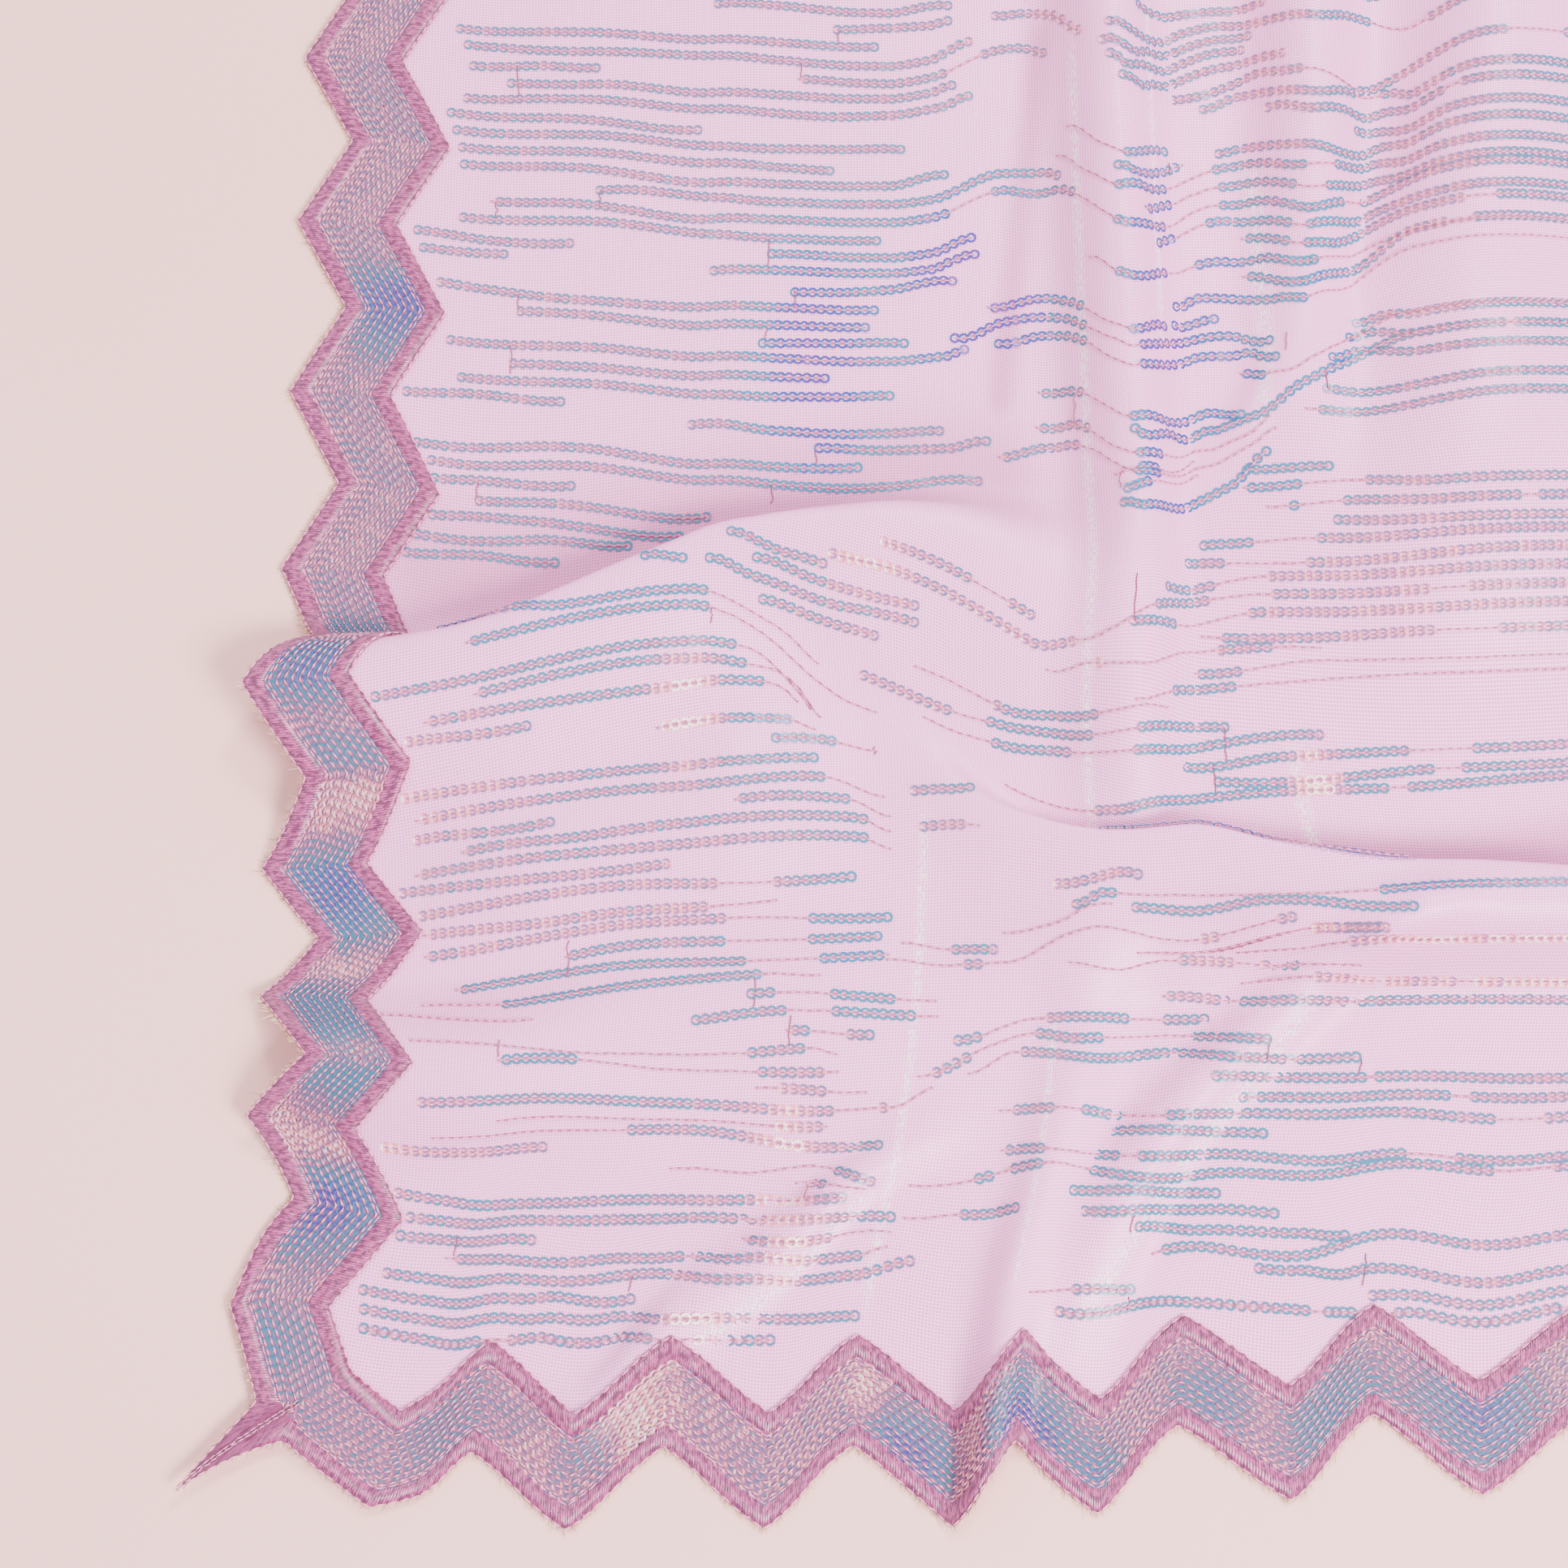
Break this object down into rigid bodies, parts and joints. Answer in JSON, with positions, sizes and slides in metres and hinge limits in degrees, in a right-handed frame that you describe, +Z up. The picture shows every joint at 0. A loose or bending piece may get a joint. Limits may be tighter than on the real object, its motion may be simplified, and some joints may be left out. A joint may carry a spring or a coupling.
{
  "type": "net saree laid flat",
  "caption": "Net saree laid out flat in one layer, with zigzag satin-edged sequin borders along both long edges and the pallu end, and a softly folded pallu corner.",
  "frame": {"origin": "middle of the underside, on the surface that the saree lies on", "axes": "+X along the length, from the pallu end to the inner end; +Y across the width, from the hem to the top edge; +Z up"},
  "size_m": [5.485, 1.1266, 0.0255],
  "materials": {
    "net_cloth": "satin",
    "border_cloth": "satin",
    "satin_thread": "satin",
    "sequins": "gloss",
    "chain_thread": "satin",
    "net_fringe": "matte"
  },
  "bodies": {
    "root": {"net": "net_cloth", "border_pallu": "border_cloth", "border_hem": "border_cloth", "border_top": "border_cloth"}
  },
  "joints": []
}
